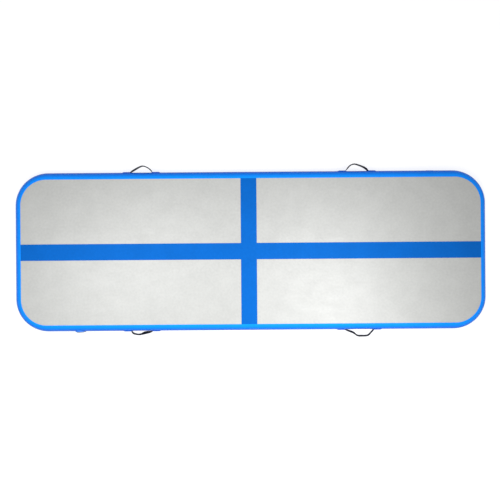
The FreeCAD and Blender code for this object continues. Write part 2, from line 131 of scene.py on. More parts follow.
def slab(upper, lower, flat, hole=None):
    """Closed sheet between two grids of points, its cut edge slightly rounded. hole is a block
    of quads that is left out: its first and end row, then column. Returns the sheet's points,
    faces and places on the flat sheet."""
    rows, columns = upper.shape[:2]
    count = rows * columns
    index = np.arange(count).reshape(rows, columns)
    rim = loop_round(index, 0, rows - 1, 0, columns - 1)
    row, column = np.unravel_index(rim, (rows, columns))
    inside = index[np.clip(row, 1, rows - 2), np.clip(column, 1, columns - 2)]
    top, under = upper.reshape(-1, 3), lower.reshape(-1, 3)
    outward = top[rim] - top[inside]
    outward /= np.linalg.norm(outward, axis=1)[:, None]
    thick = np.linalg.norm(top[rim] - under[rim], axis=1)[:, None]
    edge = (top[rim] + under[rim]) / 2 + outward * thick * EDGE_SWELL
    solid = np.ones((rows - 1, columns - 1), bool)
    if hole:
        solid[hole[0]:hole[1], hole[2]:hole[3]] = False
    corner = index[:-1, :-1][solid]
    quads = np.stack([corner, corner + columns, corner + columns + 1, corner + 1], 1)
    middle = 2 * count + np.arange(len(rim))
    sides = [quads, quads[:, ::-1] + count, between_loops(rim, middle),
             between_loops(middle, rim + count)]
    if hole:
        mouth = loop_round(index, *hole)[::-1]
        sides.append(between_loops(mouth, mouth + count))
    used, faces = np.unique(np.vstack(sides), return_inverse=True)
    flat = flat.reshape(-1, flat.shape[-1])[:, :2]
    sheet = np.column_stack([np.vstack([flat, flat, flat[rim]]),
                             np.repeat([1.0, 0.0, 0.5], [count, count, len(rim)])])
    points = np.vstack([top, under, edge])
    return points[used], faces.reshape(-1, 4).tolist(), sheet[used]


def sheet_piece(name, node, upper, lower, flat, finish, hole=None):
    """Piece that is one thin sheet, in place of a CAD node."""
    points, faces, sheet = slab(upper, lower, flat, hole)
    return new_piece(name, points, faces, finish, stands_for=[node], sheet=sheet)


def tube(rings):
    """Closed solid through rings of points, with flat ends."""
    count, around = rings.shape[:2]
    faces = []
    for i in range(count - 1):
        for j in range(around):
            a, b = i * around + j, i * around + (j + 1) % around
            faces.append([a, b, b + around, a + around])
    faces.append(list(range(around))[::-1])
    faces.append(list(range((count - 1) * around, count * around)))
    return rings.reshape(-1, 3), faces


def ease(share):
    """Share from 0 to 1 with a level start and end."""
    return share * share * (3 - 2 * share)


def rounded_grid(half_x, half_y, corner, step):
    """Grid over a rounded rectangle, in columns that follow its corners: x and y per point."""
    turn = np.linspace(0, math.pi / 2, max(4, round(corner * 1.6 / step) + 1))
    flat = half_x - corner
    straight = np.linspace(-flat, flat, max(2, round(2 * flat / step) + 1))
    x = np.concatenate([(-flat - corner * np.sin(turn))[:0:-1], straight,
                        (flat + corner * np.sin(turn))[1:]])
    past = np.clip((np.abs(x) - flat) / corner, 0, 1)
    reach = half_y - corner * (1 - np.sqrt(1 - past**2))
    share = np.linspace(-1, 1, max(3, round(2 * half_y / step) + 1))
    return np.stack([np.repeat(x[:, None], len(share), 1), reach[:, None] * share], -1)


# ---------------------------------------------------------------- the inflated shape


def outline(run):
    """Point and outward normal on the mat's widest line, run metres counter-clockwise from
    the middle of its front."""
    run = np.mod(run, PERIMETER)
    point = np.zeros(run.shape + (2,))
    normal = np.zeros(run.shape + (2,))
    at = np.array([0.0, -HALF_WIDTH])
    heading, start = 0.0, 0.0
    lengths = [STRAIGHT_X, QUARTER, 2 * STRAIGHT_Y, QUARTER, 2 * STRAIGHT_X, QUARTER,
               2 * STRAIGHT_Y, QUARTER, STRAIGHT_X]
    for number, length in enumerate(lengths):
        here = (run >= start) & (run <= start + length)
        local = np.append(run[here] - start, length)
        if number % 2:
            turned = heading + local / CORNER_RADIUS
            step = CORNER_RADIUS * np.stack(
                [np.sin(turned) - math.sin(heading), math.cos(heading) - np.cos(turned)], -1)
        else:
            turned = np.full(len(local), heading)
            step = local[:, None] * np.array([math.cos(heading), math.sin(heading)])
        point[here] = at + step[:-1]
        normal[here] = np.stack([np.sin(turned), -np.cos(turned)], -1)[:-1]
        at, heading, start = at + step[-1], turned[-1], start + length
    return point, normal


def corner_share(run):
    """1 round the mat's four corners, falling to 0 along its straight sides."""
    middles = np.array([STRAIGHT_X + QUARTER / 2, STRAIGHT_X + 1.5 * QUARTER + 2 * STRAIGHT_Y])
    middles = np.concatenate([middles, PERIMETER - middles])
    away = np.abs(np.mod(run, PERIMETER)[..., None] - middles).min(-1)
    return 1 / (1 + np.exp((away - QUARTER * 0.55) / (12 * MM)))


def pucker(run, up):
    """How far the taut wall dips below its ideal shape: fine gathers by the seams, closer
    together and deeper round the corners."""
    near_seam = np.clip((np.abs(up) - 42 * MM) / (18 * MM), 0, 1)
    near_seam *= np.clip((LAP_END - 2 * MM - np.abs(up)) / (9 * MM), 0, 1)
    corner = corner_share(run)
    drift = 0.6 * np.sin(run * 3.1 + 1) + 0.5 * np.sign(up)
    gathers = 0.5 + 0.5 * np.sin(run / (2.9 * MM) + 3 * drift)
    gathers *= 0.5 + 0.5 * np.sin(run / (17 * MM) + drift)
    swells = 0.5 + 0.5 * np.sin(run / (31 * MM) + 4 * drift)
    return near_seam * (corner * 0.9 * gathers + (0.25 + 0.75 * corner) * 0.16 * swells) * MM


def wall_surface(run, up, lift):
    """Point on the side wall: up metres over the fabric above mid height, lift metres off it."""
    over = np.abs(up)
    turn = np.where(over < WALL_RUN, over / WALL_RADIUS,
                    np.minimum(SHOULDER_TURN + (over - WALL_RUN) / SHOULDER, math.pi / 2))
    on_wall = over < WALL_RUN
    inwards = np.where(on_wall, WALL_RADIUS * (1 - np.cos(turn)),
                       SHOULDER_IN - SHOULDER * np.cos(turn))
    inwards = inwards + np.maximum(over - LAP_START, 0)
    rise = np.where(on_wall, WALL_RADIUS * np.sin(turn),
                    THICKNESS / 2 - SHOULDER + SHOULDER * np.sin(turn))
    point, normal = outline(run)
    out = (lift * np.cos(turn) - inwards)[..., None]
    height = THICKNESS / 2 + np.sign(up) * (rise + lift * np.sin(turn))
    return np.concatenate([point + normal * out, height[..., None]], -1)


def run_at(x, side):
    """Distance round the mat of the point x on its back or front wall."""
    return PERIMETER / 2 - x if side == BACK else np.asarray(x)


def panel_rise(x, y):
    """Gentle unevenness of the inflated panels, nothing at their seams."""
    reach_x = HALF_LENGTH - BULGE - LAP - np.abs(x)
    reach_y = HALF_WIDTH - BULGE - LAP - np.abs(y)
    fade = np.clip(np.minimum(reach_x, reach_y) / 0.09, 0, 1)
    corner = np.hypot(np.maximum(0, 0.18 - reach_x), np.maximum(0, 0.18 - reach_y))
    fade *= np.clip((0.18 - corner) / 0.09, 0, 1)
    waves = np.sin(5.1 * x + 1.3) * np.sin(9.3 * y + 0.7)
    waves += 0.6 * np.sin(11.7 * x - 4.1 * y + 2.0)
    waves += 0.35 * np.sin(23 * x + 7 * y) * np.sin(17 * y - 5 * x + 0.5)
    return ease(fade) * (0.55 + 0.28 * waves) * MM


# ---------------------------------------------------------------- materials


class Finish:
    """A material that is built up from nodes round one Principled shader."""

    def __init__(self, name, **values):
        self.made = bpy.data.materials.new(name)
        self.made.use_nodes = True
        self.nodes = self.made.node_tree.nodes
        self.shader = self.nodes["Principled BSDF"]
        for socket, value in values.items():
            self.shader.inputs[socket.replace("_", " ")].default_value = value
        self.space = self.add("ShaderNodeTexCoord").outputs["Object"]

    def add(self, kind, inputs=None, **settings):
        node = self.nodes.new(kind)
        for setting, value in settings.items():
            setattr(node, setting, value)
        for socket, value in (inputs or {}).items():
            self.feed(node.inputs[socket], value)
        return node

    def feed(self, socket, value):
        if isinstance(value, bpy.types.NodeSocket):
            self.made.node_tree.links.new(value, socket)
        else:
            socket.default_value = value

    def on_sheet(self):
        """Places on the flat sheet that a piece was cut from."""
        return self.add("ShaderNodeAttribute", attribute_name="sheet").outputs["Vector"]

    def noise(self, size, detail=3.0, at=None, stretch=None):
        """Cloudy values whose blotches are about size metres across."""
        at = at or self.space
        if stretch:
            at = self.add("ShaderNodeMapping", {"Vector": at, "Scale": stretch}).outputs[0]
        inputs = {"Vector": at, "Scale": 1 / size, "Detail": detail}
        return self.add("ShaderNodeTexNoise", inputs).outputs["Fac"]

    def maths(self, operation, *values):
        node = self.add("ShaderNodeMath", operation=operation)
        for socket, value in zip(node.inputs, values):
            self.feed(socket, value)
        return node.outputs[0]

    def between(self, value, low, high, from_low=0.3, from_high=0.7):
        inputs = {"Value": value, "From Min": from_low, "From Max": from_high,
                  "To Min": low, "To Max": high}
        return self.add("ShaderNodeMapRange", inputs).outputs[0]

    def blend(self, share, first, second):
        node = self.add("ShaderNodeMix", data_type="RGBA")
        for socket, value in ((0, share), (6, first), (7, second)):
            self.feed(node.inputs[socket], value)
        return node.outputs[2]

    def mottled(self, share, colour, mottle):
        """Colour from mottle darker to mottle lighter, by share."""
        return self.blend(share, shade(colour, 1 - mottle), shade(colour, 1 + mottle))

    def relief(self, height, depth, below=None):
        """Bump whose highest parts stand depth metres above its lowest."""
        inputs = {"Height": height, "Distance": depth, "Strength": 1.0}
        if below:
            inputs["Normal"] = below
        return self.add("ShaderNodeBump", inputs).outputs[0]

    def ripple(self, value, pitch, shift=0.0):
        """Wave from -1 to 1 along a distance, pitch metres long."""
        turned = self.maths("MULTIPLY_ADD", value, 2 * math.pi / pitch, shift)
        return self.maths("SINE", turned)

    def crossed(self, along, across, pitch_along, pitch_across):
        """Waves along a sheet times waves across it."""
        first = self.ripple(along, pitch_along)
        return self.maths("MULTIPLY", first, self.ripple(across, pitch_across))

    def finish(self, colour, roughness, normal=None):
        for socket, value in (("Base Color", colour), ("Roughness", roughness), ("Normal", normal)):
            if value is not None:
                self.feed(self.shader.inputs[socket], value)
        return self.made


def shade(colour, factor):
    """A colour made darker or lighter, with its alpha."""
    return (*(min(1.0, part * factor) for part in colour), 1.0)


def coated_fabric(name, colour, roughness, mottle=0.06, dimples=0.0, grip=0.0, painted_shade_flank=None,
                  **values):
    """PVC coated cloth: cloudy colour, scuffed gloss, and the base cloth's weave showing
    through. dimples is the depth of the drop stitching, grip that of a non-slip emboss. A flank
    colour, if given, is painted shade: a darker copy of colour at mid height of the side wall,
    where the wall turns away from the light above, so that colour stands as painted light on
    its shoulders."""
    make = Finish(name, **values)
    sheet = make.on_sheet()
    along, up, _ = make.add("ShaderNodeSeparateXYZ", {"Vector": sheet}).outputs
    clouds = make.noise(0.11, 4.0)
    specks = make.noise(0.014, 3.0)
    share = make.maths("MULTIPLY_ADD", specks, 0.55, make.maths("MULTIPLY", clouds, 0.45))
    share = make.between(share, 0.0, 1.0, 0.36, 0.64)
    tint = make.mottled(share, colour, mottle)
    # painted shade on the wall's middle and painted light on its shoulders: two copies of one blue,
    # blended by height
    if painted_shade_flank:
        painted_shade = make.mottled(share, painted_shade_flank, mottle)
        height = make.maths("ABSOLUTE", up)
        tint = make.blend(make.between(height, 0.0, 1.0, 18 * MM, 62 * MM), painted_shade, tint)
    scuffs = make.noise(0.045, 6.0, stretch=(0.35, 1.0, 1.0))
    gloss = make.between(scuffs, roughness - 0.05, roughness + 0.07)
    normal = make.relief(make.crossed(along, up, 1.4 * MM, 1.4 * MM), 0.012 * MM)
    grain = make.noise(0.0035, 2.0)
    normal = make.relief(grain, 0.05 * MM, normal)
    if dimples:
        normal = make.relief(make.crossed(along, up, 9 * MM, 7 * MM), dimples, normal)
    if grip:
        cells = {"Vector": sheet, "Scale": 1 / (4 * MM)}
        bead = make.add("ShaderNodeTexVoronoi", cells, feature="F1").outputs["Distance"]
        normal = make.relief(make.between(bead, 1.0, 0.0, 0.1, 0.6), grip, normal)
    return make.finish(tint, gloss, normal)


def woven_webbing(name, colour):
    """Flat polypropylene webbing: a two-over-two weave of shiny ribbon yarns with a bound edge."""
    make = Finish(name, Sheen_Weight=0.03, Sheen_Roughness=0.4, Specular_IOR_Level=0.25)
    along, across, _ = make.add("ShaderNodeSeparateXYZ", {"Vector": make.on_sheet()}).outputs
    slant = make.maths("ADD", along, make.maths("PINGPONG", across, 4.1 * MM))
    twill = make.ripple(slant, 2.2 * MM)
    picks = make.ripple(along, 1.5 * MM)
    ends = make.ripple(across, 1.6 * MM)
    weave = make.maths("MULTIPLY_ADD", make.maths("MULTIPLY", picks, ends), 0.5, twill)
    fuzz = make.noise(0.0012, 4.0)
    shine = make.between(weave, 0.62, 0.4, -1.2, 1.2)
    # the weave's crests are tinted lighter and its hollows darker: painted highlight and painted
    # shade following the weave's bump, with random fuzz in the tone
    light = make.between(make.maths("ADD", weave, fuzz), 0.0, 1.0, -0.9, 2.0)
    tint = make.blend(light, shade(colour, 0.55), shade(colour, 1.9))
    normal = make.relief(fuzz, 0.12 * MM, make.relief(weave, 0.16 * MM))
    return make.finish(tint, shine, normal)


def twisted_thread(name, colour, pitch):
    """Twisted synthetic thread."""
    make = Finish(name, Sheen_Weight=0.3, Sheen_Roughness=0.4)
    x, y, z = make.add("ShaderNodeSeparateXYZ", {"Vector": make.space}).outputs
    lay = make.ripple(make.maths("ADD", make.maths("ADD", x, y), z), pitch)
    fuzz = make.noise(0.0009, 3.0)
    # the twist's ridges are tinted lighter and its grooves darker: painted highlight and painted
    # shade following the lay's bump
    tint = make.blend(make.between(lay, 0.0, 1.0, -1, 1), shade(colour, 0.7), shade(colour, 1.2))
    normal = make.relief(fuzz, 0.05 * MM, make.relief(lay, 0.1 * MM))
    return make.finish(tint, make.between(fuzz, 0.45, 0.7), normal)


def moulded(name, colour, roughness, grain=0.6, depth=0.03, mottle=0.05, **values):
    """Moulded rubber or plastic: faint flow marks and a fine spark-eroded grain, in mm."""
    make = Finish(name, **values)
    flow = make.noise(0.018, 5.0)
    tint = make.mottled(make.between(flow, 0.0, 1.0), colour, mottle)
    fine = make.noise(grain * MM, 2.0)
    wear = make.noise(0.006, 6.0)
    gloss = make.between(wear, roughness - 0.06, roughness + 0.08)
    return make.finish(tint, gloss, make.relief(fine, depth * MM))


def drawn_steel(name):
    """Bright spring wire with fine drawing lines along it."""
    make = Finish(name, Metallic=1.0)
    lines = make.noise(0.0004, 3.0, stretch=(1.0, 0.1, 1.0))
    stain = make.noise(0.004, 4.0)
    tint = make.blend(make.between(stain, 0.0, 1.0), (0.52, 0.53, 0.55, 1), (0.72, 0.73, 0.74, 1))
    return make.finish(tint, make.between(lines, 0.18, 0.34), make.relief(lines, 0.01 * MM))


PANEL_GREY = (0.422, 0.427, 0.415)
# lit and shaded copies of the side wall's blue: painted light on its shoulders, painted shade on
# its flank
SHOULDER_PAINTED_LIGHT_BLUE = (0.006, 0.245, 0.95)
FLANK_PAINTED_SHADE_BLUE = (0.0025, 0.07, 0.5)
STRIPE_BLUE = (0.0035, 0.107, 0.45)
BLUE_GLOSS = (0.12, 0.5, 1.0, 1.0)


def make_finishes():
    """Every material on the mat, by a short name."""
    return {
        "top": coated_fabric("grey_coated_fabric", PANEL_GREY, 0.42, 0.055, dimples=0.05 * MM,
                             Specular_IOR_Level=0.6),
        "bottom": coated_fabric("matte_grey_coated_fabric", (0.36, 0.365, 0.37), 0.62, 0.06,
                                grip=0.35 * MM),
        "band": coated_fabric("blue_wall_fabric", SHOULDER_PAINTED_LIGHT_BLUE, 0.4, 0.05, painted_shade_flank=FLANK_PAINTED_SHADE_BLUE,
                              Specular_IOR_Level=0.12, Specular_Tint=BLUE_GLOSS),
        "stripe": coated_fabric("blue_stripe_fabric", STRIPE_BLUE, 0.42, 0.05, dimples=0.04 * MM,
                                Specular_IOR_Level=0.12, Specular_Tint=BLUE_GLOSS),
        "patch": coated_fabric("blue_patch_fabric", SHOULDER_PAINTED_LIGHT_BLUE, 0.42, 0.06, painted_shade_flank=FLANK_PAINTED_SHADE_BLUE,
                               Specular_IOR_Level=0.12, Specular_Tint=BLUE_GLOSS),
        "lining": coated_fabric("white_inner_wall_fabric", (0.68, 0.69, 0.7), 0.5, 0.04),
        "webbing": woven_webbing("black_webbing", (0.004, 0.0042, 0.0055)),
        "thread": twisted_thread("blue_bonded_thread", (0.004, 0.07, 0.34), 0.9 * MM),
        "yarn": twisted_thread("white_drop_stitch_yarn", (0.82, 0.82, 0.8), 2.5 * MM),
        "boss": moulded("blue_boss_rubber", (0.012, 0.16, 0.62), 0.48, 0.9, 0.05),
        "rubber": moulded("black_rubber", (0.022, 0.022, 0.024), 0.6, 1.1, 0.06, 0.2),
        "cap": moulded("grey_cap_rubber", (0.23, 0.24, 0.25), 0.5, 0.8, 0.04),
        "plastic": moulded("grey_valve_plastic", (0.33, 0.34, 0.35), 0.36, 0.5, 0.02),
        "button": moulded("pale_button_plastic", (0.62, 0.64, 0.66), 0.3, 0.4, 0.015),
        "steel": drawn_steel("bright_spring_steel"),
    }


# ---------------------------------------------------------------- the mat's sheets

WALL_STEPS = 13  # grid steps on the wall from mid height to its shoulder
WALL_STEP = WALL_RUN / WALL_STEPS
HOLE_STEPS = 3  # from the valve's middle to the edge of its hole, before the grid is rounded
CALM_STEPS = 7  # from the valve's middle to where the grid is regular again
JOINT_GAP = 0.2 * MM  # between the side wall's two ends


def round_hole(run, up):
    """Move a grid's points so that the block of quads left out for the valve becomes its round
    hole, with nothing moved from CALM_STEPS away."""
    away_x, away_up = run - VALVE_RUN, up
    ring = np.maximum(np.abs(away_x), np.abs(away_up)) / WALL_STEP
    share = np.clip((CALM_STEPS - ring) / (CALM_STEPS - HOLE_STEPS), 0, 1)
    angle = np.arctan2(away_up, away_x)
    round_up = WALL_RADIUS * np.arcsin(HOLE_RADIUS * np.sin(angle) / WALL_RADIUS)
    run = run + share * (HOLE_RADIUS * np.cos(angle) - away_x)
    return run, up + share * (round_up - away_up)


def wall_runs():
    """Places of the side wall's grid lines, once round the mat from its joint: closer together
    at the corners, and in even steps by the valve."""
    low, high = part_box("side_wall_joint_strip")
    start = run_at((low.x + high.x) / 2, BACK) + JOINT_GAP / 2
    length = PERIMETER - JOINT_GAP
    runs = [start]
    while runs[-1] < start + length:
        at_corner = corner_share(np.array([runs[-1]]))[0]
        runs.append(runs[-1] + (9.0 - 5.5 * at_corner) * MM)
    runs = np.array(runs) - start
    runs = start + runs * length / runs[-1]
    by_valve = VALVE_RUN + np.arange(-CALM_STEPS, CALM_STEPS + 1) * WALL_STEP
    clear = np.abs(runs - VALVE_RUN) > (CALM_STEPS + 0.6) * WALL_STEP
    return np.sort(np.append(runs[clear], by_valve))


def band(name, layers, flange, finish, node):
    """Side wall strip all the way round, from seam to seam, its two ends meeting under the
    joint strip, with the valve's hole. layers counts the sheets outside it, flange is where
    its flat edge ends."""
    runs = wall_runs()
    wall = np.arange(-WALL_STEPS, WALL_STEPS + 1) * WALL_STEP
    shoulder = np.linspace(WALL_RUN, LAP_START, 5)[1:]
    lap = np.linspace(LAP_START, flange, 5)[1:]
    ups = np.concatenate([-lap[::-1], -shoulder[::-1], wall, shoulder, lap])
    run, up = np.meshgrid(runs, ups, indexing="ij")
    row, column = np.argmin(np.abs(runs - VALVE_RUN)), len(ups) // 2
    hole = (row - HOLE_STEPS, row + HOLE_STEPS, column - HOLE_STEPS, column + HOLE_STEPS)
    run, up = round_hole(run, up)
    # an inner strip's flat edge lies one sheet deeper still, under the skins
    under = np.clip((np.abs(up) - WALL_RUN) / (LAP_START - WALL_RUN), 0, 1)
    depth = layers * LAYER * (1 + under) + pucker(run, up)
    outer = wall_surface(run, up, -depth)
    inner = wall_surface(run, up, -depth - PLY)
    flat = np.stack([run, up], -1)
    return sheet_piece(name, node, outer, inner, flat, finish, hole)


def panel(name, is_top, finish, node):
    """Top or bottom skin of the mat, its edge glued under the side wall."""
    low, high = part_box(node)
    shrink = SHOULDER_IN - BULGE
    grid = rounded_grid(high.x - shrink, high.y - shrink, CORNER_RADIUS - BULGE - shrink, 16 * MM)
    x, y = grid[..., 0], grid[..., 1]
    rise = panel_rise(x, y) if is_top else -0.25 * panel_rise(x, -y)
    upper = np.stack([x, y, high.z + rise], -1)
    lower = np.stack([x, y, low.z + rise], -1)
    return sheet_piece(name, node, upper, lower, grid, finish)


def stripe(name, node, finish):
    """Blue stripe welded onto the top skin, following its unevenness."""
    low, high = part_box(node)
    grid = rounded_grid((high.x - low.x) / 2, (high.y - low.y) / 2, 1.5 * MM, 12 * MM)
    grid = grid + np.array([(high.x + low.x) / 2, (high.y + low.y) / 2])
    rise = panel_rise(grid[..., 0], grid[..., 1])[..., None]
    upper = np.concatenate([grid, high.z + rise], -1)
    lower = np.concatenate([grid, low.z + rise], -1)
    return sheet_piece(name, node, upper, lower, grid, finish)


def edge_distance(grid, half_x, half_y, corner):
    """How far each point of a rounded rectangle's grid is inside its edge."""
    past = np.abs(grid) - np.array([half_x - corner, half_y - corner])
    return corner - np.linalg.norm(np.maximum(past, 0), axis=-1) - np.minimum(past.max(-1), 0)


def patch_shape(node, corner, step):
    """Grid over a patch laid flat, its middle along the mat, and how far each point of the
    grid is inside the patch's edge."""
    low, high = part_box(node)
    half_x = (high.x - low.x) / 2
    half_up = math.asin((high.z - low.z) / 2 / (WALL_RADIUS + LAYER)) * WALL_RADIUS
    grid = rounded_grid(half_x, half_up, corner, step)
    return grid, (low.x + high.x) / 2, edge_distance(grid, half_x, half_up, corner)


def weld_groove(inside, inset, depth):
    """Depth of the shallow groove that a weld leaves, inset metres inside a patch's edge."""
    return depth * np.exp(-((inside - inset) / (0.9 * MM)) ** 2)


def wall_patch(name, node, side, corner, inset, finish):
    """Sheet welded flat onto the long side wall."""
    grid, middle, inside = patch_shape(node, corner, 1.3 * MM)
    run = run_at(middle + grid[..., 0], side)
    upper = wall_surface(run, grid[..., 1], LAYER - weld_groove(inside, inset, 0.32 * MM))
    lower = wall_surface(run, grid[..., 1], np.full(run.shape, LAYER - PLY))
    return sheet_piece(name, node, upper, lower, grid, finish)


# ---------------------------------------------------------------- handles

# Each loop's line from its left foot to its right one, in mm: along the wall from the left
# foot, out from the wall, and the lean of the strap's upper edge away from the mat in degrees.
LOOPS = {
    "back_left": [(6, 6.5, 13), (18, 14, 16), (36, 25, 15), (55, 35.5, 12), (73, 43.5, 9),
                  (90, 41, 10), (105, 34, 12), (118, 26, 13), (128, 17, 15), (135.5, 8, 16)],
    "back_right": [(4, 7, 14), (14, 20, 22), (24, 31, 22), (38, 41.5, 15), (56, 46.5, 10),
                   (74, 42, 9), (96, 34, 11), (116, 25.5, 14), (130, 16, 17), (138.5, 7.5, 14)],
    "front_left": [(1.5, 8, 6), (6, 15, 10), (15, 19.5, 12), (25, 22.5, 10), (34, 24, 10),
                   (46, 25, 12), (58, 23.5, 17), (68, 19.5, 26), (80, 15, 36), (91, 12.5, 36),
                   (103, 11, 30), (114, 9.5, 22), (124, 7.5, 15), (131, 5, 8)],
    "front_right": [(9, 5, 14), (24, 9.5, 21), (40, 15.5, 23), (54, 20.5, 25), (65, 27, 25),
                    (75, 37.5, 22), (87, 43.5, 17), (100, 43.5, 16), (120, 43.5, 16),
                    (141, 43.8, 14), (153, 40, 9), (162, 31, 6), (171, 20.5, 5),
                    (180, 11.5, 4), (184.5, 5.5, 3)],
}
STRAP_THICK = 2 * MM
STRAP_STEP = 1.1 * MM  # between the rings of points along a strap
STRAP_LIFT = 2 * MM  # middle of the sewn webbing, off the wall
DROOP = 3 * MM  # how far a loop's crown hangs below its feet
PATCH_CORNER = 10 * MM  # corner radius of the base and cover patches
PATCH_INSET = 3 * MM  # from their edges to the weld's groove
COVER_LIFT = LAYER + 0.05 * MM  # underside of a cover patch where it lies on the patch below
COVERED_LIFT = STRAP_LIFT + 1.05 * MM  # and where it lies on the webbing
SEAM_INSET = 3 * MM  # from the edges of a sewn end to its seam
STITCH_PITCH = 3.3 * MM
STITCH_LENGTH = 2.7 * MM
THREAD_RADIUS = 0.25 * MM
STITCH_LIFT = COVERED_LIFT + PLY - 0.15 * MM  # where a stitch's ends go into the cover patch


def cover_patch(handle, end, side, finish):
    """Patch welded down over a sewn strap end, which comes out from under its inner edge."""
    node = f"{handle}_handle_{end}_cover"
    strap_low, strap_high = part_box(f"{handle}_handle_{end}_end")
    grid, middle, inside = patch_shape(node, PATCH_CORNER, 1.2 * MM)
    outward = -1 if end == "left" else 1
    reach = (strap_high.x - strap_low.x) / 2
    past = outward * (middle + grid[..., 0] - (strap_low.x + strap_high.x) / 2) - reach
    off_strap = np.hypot(np.maximum(past, 0), np.maximum(np.abs(grid[..., 1]) - 12.8 * MM, 0))
    over = np.clip(1.12 - off_strap / (4.2 * MM), 0, 1)
    lift = COVER_LIFT + (COVERED_LIFT - COVER_LIFT) * ease(over)
    # the edge that the strap comes out from under isn't welded
    mouth = np.clip(-past - 2 * reach + 12 * MM, 0, None) / (8 * MM)
    groove = weld_groove(inside, PATCH_INSET, 0.3 * MM) * np.clip(1 - mouth, 0, 1)
    run = run_at(middle + grid[..., 0], side)
    upper = wall_surface(run, grid[..., 1], lift + PLY - groove)
    lower = wall_surface(run, grid[..., 1], lift)
    return sheet_piece(f"{handle}_{end}_cover_sheet", node, upper, lower, grid, finish)


def smooth_line(points, step):
    """Cubic B-spline by given points, every step metres along its first two columns."""
    knots = np.array(points, float)
    knots = np.vstack([2 * knots[0] - knots[1], knots, 2 * knots[-1] - knots[-2]])
    t = np.linspace(0, 1, 24, endpoint=False)[:, None]
    weights = ((1 - t) ** 3, 3 * t**3 - 6 * t**2 + 4, -3 * t**3 + 3 * t**2 + 3 * t + 1, t**3)
    spans = zip(knots, knots[1:], knots[2:], knots[3:])
    line = np.vstack([sum(w * k for w, k in zip(weights, span)) / 6 for span in spans])
    strides = np.linalg.norm(np.diff(line[:, :2], axis=0), axis=1)
    walked = np.concatenate([[0], np.cumsum(strides)])
    even = np.linspace(0, walked[-1], round(walked[-1] / step) + 1)
    return np.column_stack([np.interp(even, walked, column) for column in line.T])


def strap_section(width, thick):
    """Cross-section of webbing: place across and height of each point, with thicker edges."""
    bead_middle = width / 2 - 0.5 * thick
    across = np.linspace(-1, 1, 15) * bead_middle
    height = np.full(len(across), 0.43 * thick)
    height[[0, 1, -2, -1]] = 0.5 * thick
    turn = np.linspace(math.pi / 2, -math.pi / 2, 6)[1:-1]
    bead_across = bead_middle + 0.5 * thick * np.cos(turn)
    bead_height = 0.5 * thick * np.sin(turn)
    section = np.column_stack([across, height])
    edge = np.column_stack([bead_across, bead_height])
    return np.vstack([section, edge, section[::-1] * (1, -1), edge[::-1] * (-1, 1)])


def strap_line(handle):
    """Sampled line of a whole strap: along the wall, out from it, and lean, in metres and
    radians, from one sewn end to the other."""
    left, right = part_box(f"{handle}_handle_left_end"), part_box(f"{handle}_handle_right_end")
    foot, far_foot = left[1].x + 1 * MM, right[0].x - 1 * MM
    sewn = (30 * MM, 18 * MM, 8 * MM, 2.5 * MM)  # from a foot back along its sewn end
    points = [(left[0].x, STRAP_LIFT, 0)]
    points += [(foot - back, STRAP_LIFT, 0) for back in sewn]
    points += [(foot + x * MM, out * MM, math.radians(lean)) for x, out, lean in LOOPS[handle]]
    points += [(far_foot + back, STRAP_LIFT, 0) for back in sewn[::-1]]
    points.append((right[1].x, STRAP_LIFT, 0))
    return smooth_line(points, STRAP_STEP)


def strap_rings(line, section):
    """Rings of a strap's points: along the wall, out from it and above mid height. Where it
    lies on the wall it bends round it, and its cut ends are thinner."""
    x, out, lean = line.T
    ahead = np.gradient(line[:, :2], axis=0)
    ahead /= np.linalg.norm(ahead, axis=1)[:, None]
    # out of the loop, and up the strap's width, both turned by the lean
    plain_out = np.column_stack([-ahead[:, 1], ahead[:, 0], np.zeros(len(line))])
    plain_up = np.array([0.0, 0.0, 1.0])
    cos, sin = np.cos(lean)[:, None], np.sin(lean)[:, None]
    face = cos * plain_out - sin * plain_up
    up = cos * plain_up + sin * plain_out
    hang = -DROOP * (np.clip(out - STRAP_LIFT, 0, None) / (45 * MM)) ** 2
    centre = np.column_stack([x, out, hang])
    hug = ease(np.clip(1 - (out - STRAP_LIFT) / (7 * MM), 0, 1)[:, None])
    bent = section[:, 0] / (WALL_RADIUS + STRAP_LIFT)
    across = (1 - hug) * section[:, 0] + hug * WALL_RADIUS * np.sin(bent)
    fall = -hug * WALL_RADIUS * (1 - np.cos(bent))
    from_end = np.minimum(np.arange(len(line)), np.arange(len(line))[::-1])
    thin = np.clip(0.45 + 0.35 * from_end, 0, 1)[:, None]
    rings = centre[:, None] + up[:, None] * across[..., None]
    return rings + face[:, None] * (fall + thin * section[:, 1])[..., None]


def strap(handle, side, finish):
    """One length of webbing: sewn end, loop, sewn end."""
    low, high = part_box(f"{handle}_handle_left_end")
    section = strap_section(high.z - low.z, STRAP_THICK)
    line = strap_line(handle)
    x, out, rise = np.moveaxis(strap_rings(line, section), -1, 0)
    world = np.stack([x, side * (HALF_WIDTH + out), THICKNESS / 2 + rise], -1)
    points, faces = tube(world)
    if side == FRONT:
        faces = [face[::-1] for face in faces]
    along = np.repeat(np.arange(len(line)) * STRAP_STEP, len(section))
    sheet = np.column_stack([along, np.tile(section, (len(line), 1))])
    nodes = [f"{handle}_handle_{part}" for part in ("loop", "left_end", "right_end")]
    made = new_piece(f"{handle}_handle_strap", points, faces, finish,
                     body=None, stands_for=nodes, sheet=sheet)
    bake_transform(made)


